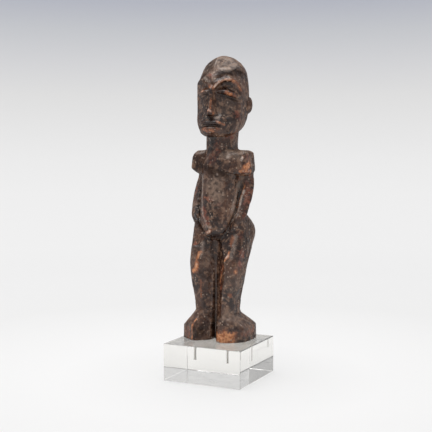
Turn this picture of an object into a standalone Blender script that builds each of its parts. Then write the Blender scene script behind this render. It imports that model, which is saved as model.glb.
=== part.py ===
"""A Lobi bateba: a standing spirit figure carved from one piece of hardwood, on a clear acrylic block.

Metres, +Z up. The origin is the centre of the block's underside and the figure faces -Y.
The carving is worked as its maker worked it: full masses are joined first, then facets, sockets
and grooves are cut into them. Each form is a signed distance in millimetres, negative inside the
wood, in the figure's own frame: sole at z 0, front at -y, its left side at +x.
"""

import math

import bpy
import numpy as np

MM = 0.001

# The block is cut from stock acrylic sheet, 1 inch thick and 2 1/4 inches square
BLOCK_SIDE = 57.15
BLOCK_THICKNESS = 25.4
BLOCK_EDGE = 0.5

# The figure stands a little left of and behind the block's middle
FIGURE_X = -2.75
FIGURE_Y = 8.5
FIGURE_HEIGHT = 195.6
REST_GAP = 0.3

# Two steel pins run from the block up into the feet
PIN_RADIUS = 0.8
PIN_CLEARANCE = 0.35
PIN_OUT = 12.4
PIN_Y = -3.5
PIN_BELOW = 13.8
PIN_ABOVE = 9.0
PIN_SIDES = 16

CARVING_STEP = 0.8
CARVING_TRIANGLES = 9000

# Heights on the figure
TOE_EDGE = 9.2
ANKLE = 21.0
KNEE = 52.0
CROTCH = 69.0
HIP = 73.4
CHEST = 114.5
SHOULDER = 130.6
CHIN = 139.6
BROW = 177.8

LEG_SLOT = 0.8
FOOT_SLOT = 1.4
WEB_FRONT = -7.8
WEB_BACK = 1.0
HEAD_Y = 2.2
HEAD_TURN = math.radians(1.5)

# Sections by height: (height, middle out from the centre line, half width, front, back)
FOOT = [
    (-3.0, 12.2, 11.7, -21.0, 17.2),
    (TOE_EDGE, 12.2, 11.6, -21.0, 16.6),
    (12.3, 11.2, 10.1, -18.9, 13.2),
    (17.9, 8.9, 7.3, -16.3, 5.6),
    (ANKLE, 7.9, 6.7, -15.2, 3.4),
    (25.0, 7.8, 6.6, -14.0, 2.0),
]
HIGH_TOE = [
    (-3.0, 7.6, 6.6, -21.0, 0.0),
    (10.0, 7.6, 6.5, -20.8, 0.0),
    (13.0, 7.6, 5.6, -20.0, 0.0),
    (15.4, 7.4, 4.2, -18.8, 0.0),
    (17.2, 7.2, 2.4, -16.4, 0.0),
]
LEG = [
    (12.0, 8.0, 6.2, -13.4, 2.0),
    (ANKLE, 8.1, 7.0, -14.9, 3.6),
    (30.0, 8.5, 7.7, -15.4, 4.4),
    (40.0, 9.2, 8.8, -16.5, 6.0),
    (KNEE, 9.9, 9.6, -16.8, 9.0),
    (62.0, 10.4, 10.0, -14.2, 14.0),
    (68.0, 10.4, 10.0, -12.4, 17.0),
    (HIP, 10.4, 10.0, -11.0, 19.0),
    (80.0, 10.0, 9.4, -9.5, 17.4),
    (86.0, 9.0, 7.5, -5.0, 12.0),
]
TORSO = [
    (CROTCH, 0.0, 5.0, -13.6, 2.0),
    (72.5, 0.0, 8.4, -16.0, 6.0),
    (77.5, 0.0, 11.3, -17.0, 9.0),
    (84.0, 0.0, 12.5, -16.6, 9.0),
    (95.0, 0.0, 12.8, -15.2, 8.2),
    (106.0, 0.0, 12.6, -13.2, 8.6),
    (114.0, 0.0, 12.8, -12.4, 10.0),
    (121.0, 0.0, 12.8, -11.4, 10.4),
    (128.0, 0.0, 12.0, -9.0, 10.5),
]
BACK = [
    (79.0, 0.0, 12.6, -9.4, 7.6),
    (85.0, 0.0, 14.2, -7.4, 8.0),
    (92.0, 0.0, 15.2, -4.2, 8.4),
    (101.0, 0.0, 15.8, -0.6, 9.2),
    (108.0, 0.0, 15.8, 0.8, 10.0),
    (116.0, 0.0, 15.8, 0.6, 11.0),
]
CHEST_BLOCK = [
    (108.0, 3.4, 12.4, -11.2, 11.0),
    (116.0, 3.4, 13.6, -12.6, 12.4),
    (124.0, 3.2, 13.4, -11.4, 13.2),
    (128.5, 2.4, 12.6, -10.0, 12.6),
    (SHOULDER, 1.0, 10.6, -9.0, 11.0),
]
SHOULDER_BLOCK = [
    (CHEST - 1.4, 14.6, 5.2, -4.4, 9.6),
    (CHEST + 0.6, 14.6, 6.6, -7.0, 12.0),
    (122.0, 14.8, 6.8, -7.2, 12.8),
    (126.5, 14.4, 6.6, -6.6, 12.4),
    (129.0, 13.6, 6.4, -5.2, 11.4),
    (SHOULDER, 12.8, 5.4, -3.0, 9.4),
]
ARM = [
    (75.0, 12.2, 2.6, -10.0, -4.2),
    (76.6, 12.8, 3.9, -11.2, -2.6),
    (80.0, 13.6, 4.4, -10.8, -1.0),
    (85.0, 15.4, 4.7, -8.8, 2.8),
    (91.2, 16.2, 5.0, -4.8, 4.4),
    (99.2, 16.8, 5.2, -0.4, 8.0),
    (108.0, 16.4, 5.2, 3.0, 12.0),
    (118.0, 16.0, 5.0, 2.0, 12.0),
]
NECK = [
    (122.0, 0.0, 11.2, -9.6, 12.0),
    (135.0, 0.0, 10.9, -9.6, 12.2),
    (146.0, 0.0, 11.2, -10.0, 14.0),
]
HEAD = [
    (CHIN, 0.0, 7.6, -18.6, -1.0),
    (141.2, 0.0, 10.2, -21.0, 4.5),
    (144.0, 0.0, 13.2, -22.2, 11.0),
    (147.5, 0.0, 15.4, -22.0, 14.6),
    (151.0, 0.0, 16.5, -20.6, 16.2),
    (156.0, 0.0, 17.0, -18.8, 17.4),
    (164.0, 0.0, 17.3, -18.0, 18.8),
    (171.0, 0.0, 17.3, -18.6, 19.4),
    (176.0, 0.0, 16.5, -18.2, 20.6),
    (180.0, 0.0, 15.1, -16.6, 22.0),
    (185.0, 0.0, 14.1, -13.6, 20.6),
    (189.0, 0.0, 11.9, -10.6, 17.6),
    (192.6, 0.0, 8.2, -6.8, 13.2),
    (194.8, 0.0, 3.8, -2.2, 8.4),
    (FIGURE_HEIGHT, 0.0, 0.8, 0.4, 5.0),
]

# Lines on one half of the face: (distance round the head from its middle, height)
BROW_LINE = [(0.8, 170.8), (2.7, 173.4), (4.7, 175.4), (8.0, 177.4), (11.5, BROW), (14.6, 177.4),
             (19.6, 174.1), (21.8, 170.8)]
EYE_LINE = [(2.6, 169.8), (7.2, 169.6), (10.3, 168.6), (14.4, 167.2), (20.0, 165.2)]
ROUND_THE_HEAD = 17.2


def fall(low, high, value):
    """1 below low, 0 above high, smooth between."""
    t = np.clip((value - low) / (high - low), 0.0, 1.0)
    return 1.0 - t * t * (3.0 - 2.0 * t)


def join(a, b, blend):
    """The union of two forms, with a fillet of about the blend's size."""
    overlap = np.maximum(blend - np.abs(a - b), 0.0) / blend
    return np.minimum(a, b) - overlap * overlap * blend / 4


def trim(a, b, blend):
    """What two forms share, with its edge eased by the blend."""
    return -join(-a, -b, blend)


def curve_through(heights, values, z, crisp):
    """Values read at z from a line or a smooth curve through the given ones."""
    if crisp:
        return np.interp(z, heights, values)
    slopes = np.gradient(values, heights)
    z = np.clip(z, heights[0], heights[-1])
    i = np.clip(np.searchsorted(heights, z, side="right") - 1, 0, len(heights) - 2)
    span = heights[i + 1] - heights[i]
    t = (z - heights[i]) / span
    rise = t * t * (3 - 2 * t)
    start_slope = slopes[i] * span * t * (1 - t) ** 2
    end_slope = slopes[i + 1] * span * t * t * (t - 1)
    return values[i] * (1 - rise) + values[i + 1] * rise + start_slope + end_slope


def column(p, sections, squareness, crisp=False):
    """A shape lofted through level sections: rounded at squareness 2, boxier above it."""
    x, y, z = p
    table = np.array(sections).T
    levels = np.unique(z)
    rows = np.searchsorted(levels, z)
    middle, half, front, back = (curve_through(table[0], row, levels, crisp)[rows] for row in table[1:])
    half = np.maximum(half, 0.2)
    depth = np.maximum((back - front) / 2, 0.2)
    u = np.abs(x - middle) / half + 1e-6
    v = np.abs(y - (front + back) / 2) / depth + 1e-6
    ring = (u**squareness + v**squareness) ** (1 / squareness)
    steepness = np.hypot(u ** (squareness - 1) / half, v ** (squareness - 1) / depth)
    side = (ring - 1) * ring ** (squareness - 1) / steepness
    ends = np.maximum(table[0][0] - z, z - table[0][-1])
    return trim(side, ends, 1.0)


def ball(p, middle, radii, lean=0.0):
    """An ellipsoid, leaning about the front-back axis."""
    x, y, z = (p[i] - middle[i] for i in range(3))
    x, z = x * math.cos(lean) - z * math.sin(lean), x * math.sin(lean) + z * math.cos(lean)
    a, b, c = radii
    near = np.sqrt((x / a) ** 2 + (y / b) ** 2 + (z / c) ** 2) + 1e-9
    slope = np.sqrt((x / a**2) ** 2 + (y / b**2) ** 2 + (z / c**2) ** 2) + 1e-9
    return near * (near - 1) / slope


def facet(p, point, facing):
    """The half space behind a flat cut through the point."""
    length = math.sqrt(sum(c * c for c in facing))
    return sum((p[i] - point[i]) * facing[i] for i in range(3)) / length


def line_distance(u, v, points):
    """How far (u, v) is from a line of straight runs."""
    nearest = None
    for (u0, v0), (u1, v1) in zip(points, points[1:]):
        du, dv = u1 - u0, v1 - v0
        t = np.clip(((u - u0) * du + (v - v0) * dv) / (du * du + dv * dv), 0, 1)
        gap = np.hypot(u - u0 - t * du, v - v0 - t * dv)
        nearest = gap if nearest is None else np.minimum(nearest, gap)
    return nearest


def ridge(distance, half_width):
    """A crisp ridge's height, from 1 on its line to 0 at its foot."""
    return np.maximum(0.0, 1.0 - distance / half_width)


def one_side(p, side):
    return np.stack([p[0] * side, p[1], p[2]])


def both_sides(p):
    return np.stack([np.abs(p[0]), p[1], p[2]])


def head_frame(p):
    """Places as the head sees them, turned a little to the figure's left."""
    c, s = math.cos(HEAD_TURN), math.sin(HEAD_TURN)
    y = p[1] - HEAD_Y
    return np.stack([p[0] * c + y * s, y * c - p[0] * s, p[2]])


def face_relief(h):
    """How far the face stands out from the head's plain column."""
    round_it = np.arctan2(np.abs(h[0]), -h[1]) * ROUND_THE_HEAD
    z = h[2]
    brow = np.interp(round_it, *np.array(BROW_LINE).T)
    eye = np.interp(round_it, *np.array(EYE_LINE).T)
    inner, outer = BROW_LINE[0][0], BROW_LINE[-1][0]

    # The face is let in below the brow, deepest beside the nose
    let_in = 2.3 * (1 - fall(0.8, 3.0, round_it)) * fall(9.0, 22.0, round_it)
    relief = -let_in * fall(-1.4, 0.2, z - brow) * (1 - fall(150.0, 156.0, z))

    # A raised rim follows the brow, and a socket is hollowed under it
    on_brow = fall(outer - 5.0, outer + 2.0, round_it) * (1 - fall(inner - 1.5, inner, round_it))
    rim = np.where(h[0] > 0, 0.9, 0.4)
    relief = relief + rim * ridge(line_distance(round_it, z, BROW_LINE), 2.6) * on_brow
    under = ridge(np.abs(z - (brow * 0.55 + eye * 0.45)), 3.4)
    relief = relief - 1.3 * under * fall(15.0, 22.0, round_it) * (1 - fall(1.5, 4.5, round_it))

    # The eye is a long leaning almond with one crisp lid and a slit under it
    eye_reach = 1 - np.where(h[0] > 0, (round_it - 11.0) / 8.8, (round_it - 9.0) / 6.6) ** 2
    almond = np.sqrt(np.maximum(0.0, eye_reach))
    lid = np.maximum(0.0, 1 - np.abs(z - eye - 0.5) / (0.6 + 2.2 * almond))
    relief = relief + 2.4 * lid**0.8 * almond
    relief = relief - 1.1 * ridge(np.abs(z - eye + 1.7), 1.0) * almond

    # The nose is a narrow wedge that widens to its wings
    down = np.clip((171.5 - z) / 17.0, 0, 1)
    wing = 1.5 + 2.6 * down**2
    nose = (3.2 + 3.4 * down) * ridge(np.abs(h[0]), wing) ** 0.8
    relief = relief + nose * fall(171.0, 175.0, z) * (1 - fall(153.2, 154.4, z)) * (h[1] < 0)

    # Two full lips, parted by a cut that runs further on the right
    bow = 0.02 * round_it**2
    end = np.where(h[0] > 0, 7.8, 11.0)
    lips = fall(-2.4, 2.4, round_it - end)
    relief = relief + 1.7 * ridge(np.abs(z - 149.0 + bow), 2.2) ** 0.6 * lips
    relief = relief + 1.7 * ridge(np.abs(z - 144.2), 2.8) ** 0.6 * lips
    relief = relief - 1.4 * ridge(np.abs(z - 146.9 + bow * 0.6), 1.0) * fall(-1.5, 1.5, round_it - end)
    return relief


def head(p):
    h = head_frame(p)
    half = both_sides(h)
    wood = column(h, HEAD, 2.3)
    # Two flat cuts on the crown meet in a keel, and end in an edge over the steeper forehead
    keel = (-1.4, -6.2, 192.2)
    over_forehead = 2.0 * fall(180.0, 184.0, h[2])
    wood = trim(wood, facet(h, keel, (0.39, -0.48, 0.79)), 0.3)
    wood = trim(wood, facet(h, keel, (-0.38, -0.68, 0.62)) - over_forehead, 0.4)
    wood = trim(wood, facet(half, (2.0, -18.0, 176.0), (0.40, -0.88, 0.26)), 0.8)
    # Cheeks and the back of the jaw are cut flat as well
    wood = trim(wood, facet(half, (12.5, -13.2, 157.0), (0.70, -0.70, -0.08)), 1.2)
    wood = wood - face_relief(h)
    wood = join(wood, ball(half, (15.2, 8.0, 161.8), (3.6, 3.4, 6.2)), 1.0)
    # A chip is gone over the far brow
    return trim(wood, -ball(h, (-5.6, -17.2, 177.6), (3.2, 2.6, 2.6), 0.4), 0.5)


def legs(p):
    made = None
    for side in (1.0, -1.0):
        q = one_side(p, side)
        foot = column(q, FOOT, 2.7 if side > 0 else 3.0, crisp=True)
        if side < 0:
            foot = join(foot, column(q, HIGH_TOE, 4.0, crisp=True), 0.8)
        rounding = 3.5 if side > 0 else 0.5
        foot = trim(foot, facet(q, (12.8, -20.8, 0.0), (0.58, -0.81, 0.0)), rounding)
        one = join(column(q, LEG, 2.7), foot, 0.8)
        # A crest runs down the thigh, over the knee and along the inner shin
        crest = line_distance(q[0], q[2], [(14.5, 64.0), (9.0, KNEE), (6.5, 42.0), (6.0, 26.0)])
        one = one - 1.2 * ridge(crest, 2.4) * (q[1] < -4.0)
        # The inner front corner is cut back, less on the feet, which part wider than the legs
        spared = (20.0 if side > 0 else 2.0) * fall(9.0, 17.0, q[2])
        one = trim(one, facet(q, (LEG_SLOT, -8.8, 30.0), (-0.70, -0.71, 0.03)) - spared, 1.0)
        if side > 0:
            one = trim(one, facet(q, (5.8, -21.0, 0.0), (-0.90, -0.42, 0.0)), 1.2)
        parting = LEG_SLOT + (FOOT_SLOT - LEG_SLOT) * fall(6.0, 20.0, q[2])
        one = trim(one, parting - q[0], 0.6)
        made = one if made is None else np.minimum(made, one)
    # The cut between the legs stops part way in
    web = np.maximum(np.abs(p[0]) - 3.0, p[2] - CROTCH)
    web = np.maximum(web, np.maximum(WEB_FRONT - p[1], p[1] - WEB_BACK))
    return join(made, web, 0.5)


def arms(p):
    """Arms with a crisp front edge, laid close along the body, hands on the hips' front."""
    bowed = 1.5 * (p[0] < 0) * (1 - fall(79.0, 86.0, p[2])) * fall(106.0, 114.0, p[2])
    half = both_sides(p)
    half[0] -= bowed
    return column(half, ARM, 1.35)


def trunk(p):
    half = both_sides(p)
    wood = column(p, TORSO, 2.4)
    wood = join(wood, legs(p), 1.0)
    buttocks = ball(half, (9.3, 9.5, HIP - 0.4), (10.6, 15.0, 12.0))
    wood = join(wood, trim(buttocks, LEG_SLOT / 2 - half[0], 1.0), 1.6)
    # The groin is cut in under the belly's lower edge
    groin = line_distance(half[0], p[2], [(1.5, 70.5), (7.5, 74.5), (12.5, 80.0)])
    wood = wood + np.where(p[0] < 0, 1.8, 0.9) * ridge(groin, 1.6) * (p[1] < -4.0)
    wood = join(wood, ball(p, (-0.6, -15.4, 75.0), (4.2, 3.8, 4.0)), 1.0)
    wood = join(wood, ball(p, (0.0, -15.6, 95.0), (1.8, 1.4, 1.8)), 0.8)
    wood = join(wood, join(arms(p), column(p, BACK, 3.0), 1.0), 0.5)
    # A shallow furrow down the spine
    spine = ridge(np.abs(p[0]), 2.4) * fall(122.0, 128.0, p[2]) * (1 - fall(84.0, 90.0, p[2]))
    return wood + 0.9 * spine * (p[1] > 2.0)


def shoulders(p):
    # The chest stands further towards the left shoulder, and its lower edge falls that way
    wood = column(p, CHEST_BLOCK, 3.2)
    wood = trim(wood, facet(p, (18.0, -8.0, CHEST - 1.7), (-0.27, 0.0, -0.96)), 1.6)
    half = both_sides(p)
    half[0] -= np.where(p[0] > 0, 0.7, -0.4) * (1 - fall(124.0, 130.0, p[2]))
    # The right one is cut back under its outer corner
    under = facet(p, (-21.1, 0.0, 118.0), (-0.62, -0.1, -0.78))
    caps = trim(column(half, SHOULDER_BLOCK, 3.4), under, 1.0)
    return join(wood, caps, 1.2)


def carving(p):
    """The whole figure."""
    wood = join(trunk(p), shoulders(p), 0.5)
    wood = join(wood, column(p, NECK, 2.1), 1.5)
    wood = join(wood, head(p), 0.8)
    return trim(wood, -p[2], 0.5)


def without_bare_contacts(inside):
    """Fills a grid so that no two parts of the wood meet only along an edge or at a corner."""
    inside = inside.copy()
    while True:
        before = np.count_nonzero(inside)
        for axis in range(3):
            grid = np.moveaxis(inside, axis, 0)
            a, b = grid[:, :-1, :-1], grid[:, 1:, :-1]
            c, d = grid[:, :-1, 1:], grid[:, 1:, 1:]
            crossed = (a == d) & (b == c) & (a != b)
            for quarter in (a, b, c, d):
                quarter |= crossed
        for flip_y in (False, True):
            for flip_z in (False, True):
                grid = inside[:, ::-1] if flip_y else inside
                grid = grid[:, :, ::-1] if flip_z else grid
                rows, files, levels = (n - 1 for n in grid.shape)
                eight = [grid[i : rows + i, j : files + j, k : levels + k]
                         for i in (0, 1) for j in (0, 1) for k in (0, 1)]
                count = sum(corner * 1 for corner in eight)
                opposite = eight[0] & eight[7] & (count == 2) | ~eight[0] & ~eight[7] & (count == 6)
                for corner in eight:
                    corner |= opposite
        if np.count_nonzero(inside) == before:
            return inside


def surface_of(form, low, high, step):
    """Points and faces of a form's surface: one point in each grid cell that it crosses."""
    axes = [np.arange(a, b + step, step) for a, b in zip(low, high)]
    grid = np.stack(np.meshgrid(*axes, indexing="ij"))
    field = form(grid.reshape(3, -1)).reshape(grid.shape[1:])
    inside = without_bare_contacts(field < 0)
    field = np.where(inside, np.minimum(field, -0.05 * step), field)
    cells = tuple(n - 1 for n in field.shape)
    corners = [(i, j, k) for i in (0, 1) for j in (0, 1) for k in (0, 1)]
    filled = sum(inside[tuple(slice(c, c + n) for c, n in zip(corner, cells))] * 1 for corner in corners)
    crossed_cells = np.argwhere((filled > 0) & (filled < 8))
    number = np.full(cells, -1)
    number[tuple(crossed_cells.T)] = np.arange(len(crossed_cells))

    total = np.zeros((len(crossed_cells), 3))
    crossings = np.zeros(len(crossed_cells))
    for corner in corners:
        for axis in range(3):
            if corner[axis]:
                continue
            start = crossed_cells + corner
            end = start.copy()
            end[:, axis] += 1
            at_start, at_end = field[tuple(start.T)], field[tuple(end.T)]
            crosses = (at_start < 0) != (at_end < 0)
            place = start.astype(float)
            drop = np.where(crosses, at_start - at_end, 1.0)
            place[:, axis] += np.where(crosses, at_start / drop, 0.0)
            total[crosses] += place[crosses]
            crossings += crosses
    points = np.array(low) + total / crossings[:, None] * step

    faces = []
    for axis in range(3):
        u, v = (axis + 1) % 3, (axis + 2) % 3
        here = inside[tuple(slice(0, -1) if i == axis else slice(1, -1) for i in range(3))]
        there = inside[tuple(slice(1, None) if i == axis else slice(1, -1) for i in range(3))]
        edges = np.argwhere(here != there)
        ring = []
        for step_u, step_v in ((0, 0), (1, 0), (1, 1), (0, 1)):
            cell = edges.copy()
            cell[:, u] += step_u
            cell[:, v] += step_v
            ring.append(number[tuple(cell.T)])
        ring = np.stack(ring, axis=1)
        faces_back = ~here[tuple(edges.T)]
        ring[faces_back] = ring[faces_back][:, ::-1]
        faces.append(ring)
    return points, np.concatenate(faces)


def material(name, colour, roughness, metallic=0.0, alpha=1.0):
    made = bpy.data.materials.new(name)
    made.use_nodes = True
    shader = made.node_tree.nodes["Principled BSDF"]
    shader.inputs["Base Color"].default_value = (*colour, 1.0)
    shader.inputs["Roughness"].default_value = roughness
    shader.inputs["Metallic"].default_value = metallic
    shader.inputs["Alpha"].default_value = alpha
    return made


def placed(name, mesh, location, finish=None):
    made = bpy.data.objects.new(name, mesh)
    bpy.context.collection.objects.link(made)
    made.location = [c * MM for c in location]
    if finish:
        mesh.materials.append(finish)
    return made


def rod_mesh(name, radius, length):
    """A round rod standing on z 0."""
    bpy.ops.mesh.primitive_cylinder_add(vertices=PIN_SIDES, radius=radius * MM, depth=length * MM)
    rod = bpy.context.object
    mesh = rod.data
    mesh.name = name
    for vertex in mesh.vertices:
        vertex.co.z += length * MM / 2
    bpy.data.objects.remove(rod)
    return mesh


def drill(target, name, radius, length, location):
    """A round hole, cut by a hidden cutter."""
    cutter = placed(name, rod_mesh(name, radius, length), location)
    cutter.hide_render = True
    cutter.display_type = "WIRE"
    cut = target.modifiers.new(name, "BOOLEAN")
    cut.operation = "DIFFERENCE"
    cut.solver = "EXACT"
    cut.object = cutter


def pin_places():
    for side, name in ((-1.0, "right"), (1.0, "left")):
        yield name, FIGURE_X + side * PIN_OUT, FIGURE_Y + PIN_Y


def make_figure():
    points, faces = surface_of(carving, (-27.2, -27.2, -2.4), (27.2, 30.4, 197.0), CARVING_STEP)
    mesh = bpy.data.meshes.new("carved_figure")
    mesh.from_pydata((points * MM).tolist(), [], faces.tolist())
    mesh.shade_smooth()
    sole = BLOCK_THICKNESS + REST_GAP
    wood = material("dark_carved_wood", (0.075, 0.042, 0.027), 0.5)
    figure = placed("carved_figure", mesh, (FIGURE_X, FIGURE_Y, sole), wood)
    thin = figure.modifiers.new("flat cuts", "DECIMATE")
    thin.ratio = CARVING_TRIANGLES / (2 * len(faces))
    thin.use_collapse_triangulate = True
    for name, x, y in pin_places():
        hole = PIN_ABOVE + REST_GAP + PIN_CLEARANCE
        drill(figure, f"foot_hole_{name}", PIN_RADIUS + PIN_CLEARANCE, hole + 2.0, (x, y, sole - 2.0))
    return figure


def make_block():
    bpy.ops.mesh.primitive_cube_add(size=1.0)
    block = bpy.context.object
    block.name = "acrylic_block"
    mesh = block.data
    mesh.name = "acrylic_block"
    for vertex in mesh.vertices:
        vertex.co.x *= BLOCK_SIDE * MM
        vertex.co.y *= BLOCK_SIDE * MM
        vertex.co.z = (vertex.co.z + 0.5) * BLOCK_THICKNESS * MM
    mesh.materials.append(material("clear_acrylic", (0.93, 0.94, 0.94), 0.05, alpha=0.3))
    edge = block.modifiers.new("polished edge", "BEVEL")
    edge.width = BLOCK_EDGE * MM
    edge.segments = 2
    for name, x, y in pin_places():
        depth = PIN_BELOW + PIN_CLEARANCE
        drill(block, f"block_hole_{name}", PIN_RADIUS + PIN_CLEARANCE, depth + 2.0,
              (x, y, BLOCK_THICKNESS - depth))
    return block


def make_pins():
    steel = material("steel_pin", (0.5, 0.5, 0.5), 0.35, metallic=1.0)
    for name, x, y in pin_places():
        mesh = rod_mesh(f"mount_pin_{name}", PIN_RADIUS, PIN_BELOW + PIN_ABOVE)
        mesh.shade_smooth()
        mesh.set_sharp_from_angle(angle=math.radians(40))
        placed(f"mount_pin_{name}", mesh, (x, y, BLOCK_THICKNESS - PIN_BELOW), steel)


def main():
    for item in list(bpy.data.objects):
        bpy.data.objects.remove(item)
    make_figure()
    make_block()
    make_pins()


main()
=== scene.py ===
"""The looks of the standing spirit figure on its clear acrylic block.

The carving is worked again as the same form as its solid, at a finer step and with the marks of the
blade, so each form is a signed distance in millimetres, negative inside the wood, in the figure's own
frame: sole at z 0, front at -y, its left side at +x. Everything in the scene itself is in metres.
"""

import math

import bpy
import numpy as np
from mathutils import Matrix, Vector, kdtree


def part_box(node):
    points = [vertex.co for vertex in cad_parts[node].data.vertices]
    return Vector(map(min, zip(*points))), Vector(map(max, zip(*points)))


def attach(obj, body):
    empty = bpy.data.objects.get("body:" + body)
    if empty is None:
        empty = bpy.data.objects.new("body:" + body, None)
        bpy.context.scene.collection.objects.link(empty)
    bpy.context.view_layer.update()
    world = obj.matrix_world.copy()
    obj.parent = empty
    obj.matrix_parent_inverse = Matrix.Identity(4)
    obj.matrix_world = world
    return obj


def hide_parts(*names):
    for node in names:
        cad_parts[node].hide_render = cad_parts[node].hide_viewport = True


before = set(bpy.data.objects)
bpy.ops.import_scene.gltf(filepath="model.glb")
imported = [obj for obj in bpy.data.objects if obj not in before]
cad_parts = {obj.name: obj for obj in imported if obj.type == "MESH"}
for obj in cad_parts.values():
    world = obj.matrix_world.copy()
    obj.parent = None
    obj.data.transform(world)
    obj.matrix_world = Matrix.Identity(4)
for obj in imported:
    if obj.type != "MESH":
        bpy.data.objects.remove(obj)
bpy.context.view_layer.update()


MM = 0.001

BLOCK_THICKNESS = 25.4
FIGURE_X = -2.75
FIGURE_Y = 8.5
FIGURE_HEIGHT = 195.6
REST_GAP = 0.3
PIN_OUT = 12.4
PIN_Y = -3.5
PIN_HOLE_RADIUS = 1.15
PIN_HOLE_DEPTH = 9.65

# Heights on the figure
TOE_EDGE = 9.2
ANKLE = 21.0
KNEE = 52.0
CROTCH = 69.0
HIP = 73.4
CHEST = 114.5
SHOULDER = 130.6
CHIN = 139.6
BROW = 177.8

LEG_SLOT = 0.8
FOOT_SLOT = 1.4
WEB_FRONT = -7.8
WEB_BACK = 1.0
HEAD_Y = 2.2
HEAD_TURN = math.radians(1.5)

# Sections by height: (height, middle out from the centre line, half width, front, back)
FOOT = [
    (-3.0, 12.2, 11.7, -21.0, 17.2),
    (TOE_EDGE, 12.2, 11.6, -21.0, 16.6),
    (12.3, 11.2, 10.1, -18.9, 13.2),
    (17.9, 8.9, 7.3, -16.3, 5.6),
    (ANKLE, 7.9, 6.7, -15.2, 3.4),
    (25.0, 7.8, 6.6, -14.0, 2.0),
]
HIGH_TOE = [
    (-3.0, 7.6, 6.6, -21.0, 0.0),
    (10.0, 7.6, 6.5, -20.8, 0.0),
    (13.0, 7.6, 5.6, -20.0, 0.0),
    (15.4, 7.4, 4.2, -18.8, 0.0),
    (17.2, 7.2, 2.4, -16.4, 0.0),
]
LEG = [
    (12.0, 8.0, 6.2, -13.4, 2.0),
    (ANKLE, 8.1, 7.0, -14.9, 3.6),
    (30.0, 8.5, 7.7, -15.4, 4.4),
    (40.0, 9.2, 8.8, -16.5, 6.0),
    (KNEE, 9.9, 9.6, -16.8, 9.0),
    (62.0, 10.4, 10.0, -14.2, 14.0),
    (68.0, 10.4, 10.0, -12.4, 17.0),
    (HIP, 10.4, 10.0, -11.0, 19.0),
    (80.0, 10.0, 9.4, -9.5, 17.4),
    (86.0, 9.0, 7.5, -5.0, 12.0),
]
TORSO = [
    (CROTCH, 0.0, 5.0, -13.6, 2.0),
    (72.5, 0.0, 8.4, -16.0, 6.0),
    (77.5, 0.0, 11.3, -17.0, 9.0),
    (84.0, 0.0, 12.5, -16.6, 9.0),
    (95.0, 0.0, 12.8, -15.2, 8.2),
    (106.0, 0.0, 12.6, -13.2, 8.6),
    (114.0, 0.0, 12.8, -12.4, 10.0),
    (121.0, 0.0, 12.8, -11.4, 10.4),
    (128.0, 0.0, 12.0, -9.0, 10.5),
]
BACK = [
    (79.0, 0.0, 12.6, -9.4, 7.6),
    (85.0, 0.0, 14.2, -7.4, 8.0),
    (92.0, 0.0, 15.2, -4.2, 8.4),
    (101.0, 0.0, 15.8, -0.6, 9.2),
    (108.0, 0.0, 15.8, 0.8, 10.0),
    (116.0, 0.0, 15.8, 0.6, 11.0),
]
CHEST_BLOCK = [
    (108.0, 3.4, 12.4, -11.2, 11.0),
    (116.0, 3.4, 13.6, -12.6, 12.4),
    (124.0, 3.2, 13.4, -11.4, 13.2),
    (128.5, 2.4, 12.6, -10.0, 12.6),
    (SHOULDER, 1.0, 10.6, -9.0, 11.0),
]
SHOULDER_BLOCK = [
    (CHEST - 1.4, 14.6, 5.2, -4.4, 9.6),
    (CHEST + 0.6, 14.6, 6.6, -7.0, 12.0),
    (122.0, 14.8, 6.8, -7.2, 12.8),
    (126.5, 14.4, 6.6, -6.6, 12.4),
    (129.0, 13.6, 6.4, -5.2, 11.4),
    (SHOULDER, 12.8, 5.4, -3.0, 9.4),
]
ARM = [
    (75.0, 12.2, 2.6, -10.0, -4.2),
    (76.6, 12.8, 3.9, -11.2, -2.6),
    (80.0, 13.6, 4.4, -10.8, -1.0),
    (85.0, 15.4, 4.7, -8.8, 2.8),
    (91.2, 16.2, 5.0, -4.8, 4.4),
    (99.2, 16.8, 5.2, -0.4, 8.0),
    (108.0, 16.4, 5.2, 3.0, 12.0),
    (118.0, 16.0, 5.0, 2.0, 12.0),
]
NECK = [
    (122.0, 0.0, 11.2, -9.6, 12.0),
    (135.0, 0.0, 10.9, -9.6, 12.2),
    (146.0, 0.0, 11.2, -10.0, 14.0),
]
HEAD = [
    (CHIN, 0.0, 7.6, -18.6, -1.0),
    (141.2, 0.0, 10.2, -21.0, 4.5),
    (144.0, 0.0, 13.2, -22.2, 11.0),
    (147.5, 0.0, 15.4, -22.0, 14.6),
    (151.0, 0.0, 16.5, -20.6, 16.2),
    (156.0, 0.0, 17.0, -18.8, 17.4),
    (164.0, 0.0, 17.3, -18.0, 18.8),
    (171.0, 0.0, 17.3, -18.6, 19.4),
    (176.0, 0.0, 16.5, -18.2, 20.6),
    (180.0, 0.0, 15.1, -16.6, 22.0),
    (185.0, 0.0, 14.1, -13.6, 20.6),
    (189.0, 0.0, 11.9, -10.6, 17.6),
    (192.6, 0.0, 8.2, -6.8, 13.2),
    (194.8, 0.0, 3.8, -2.2, 8.4),
    (FIGURE_HEIGHT, 0.0, 0.8, 0.4, 5.0),
]

# Lines on one half of the face: (distance round the head from its middle, height)
BROW_LINE = [(0.8, 170.8), (2.7, 173.4), (4.7, 175.4), (8.0, 177.4), (11.5, BROW), (14.6, 177.4),
             (19.6, 174.1), (21.8, 170.8)]
EYE_LINE = [(2.6, 169.8), (7.2, 169.6), (10.3, 168.6), (14.4, 167.2), (20.0, 165.2)]
ROUND_THE_HEAD = 17.2

# The fine grid that the surface is found on, and the value given far from the surface
FINE_STEP = 0.65
BLOCK_OF_STEPS = 4
GRID_LOW = (-27.2, -27.2, -2.4)
GRID_HIGH = (27.2, 30.4, 197.0)
OUTSIDE = 9.0

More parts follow.
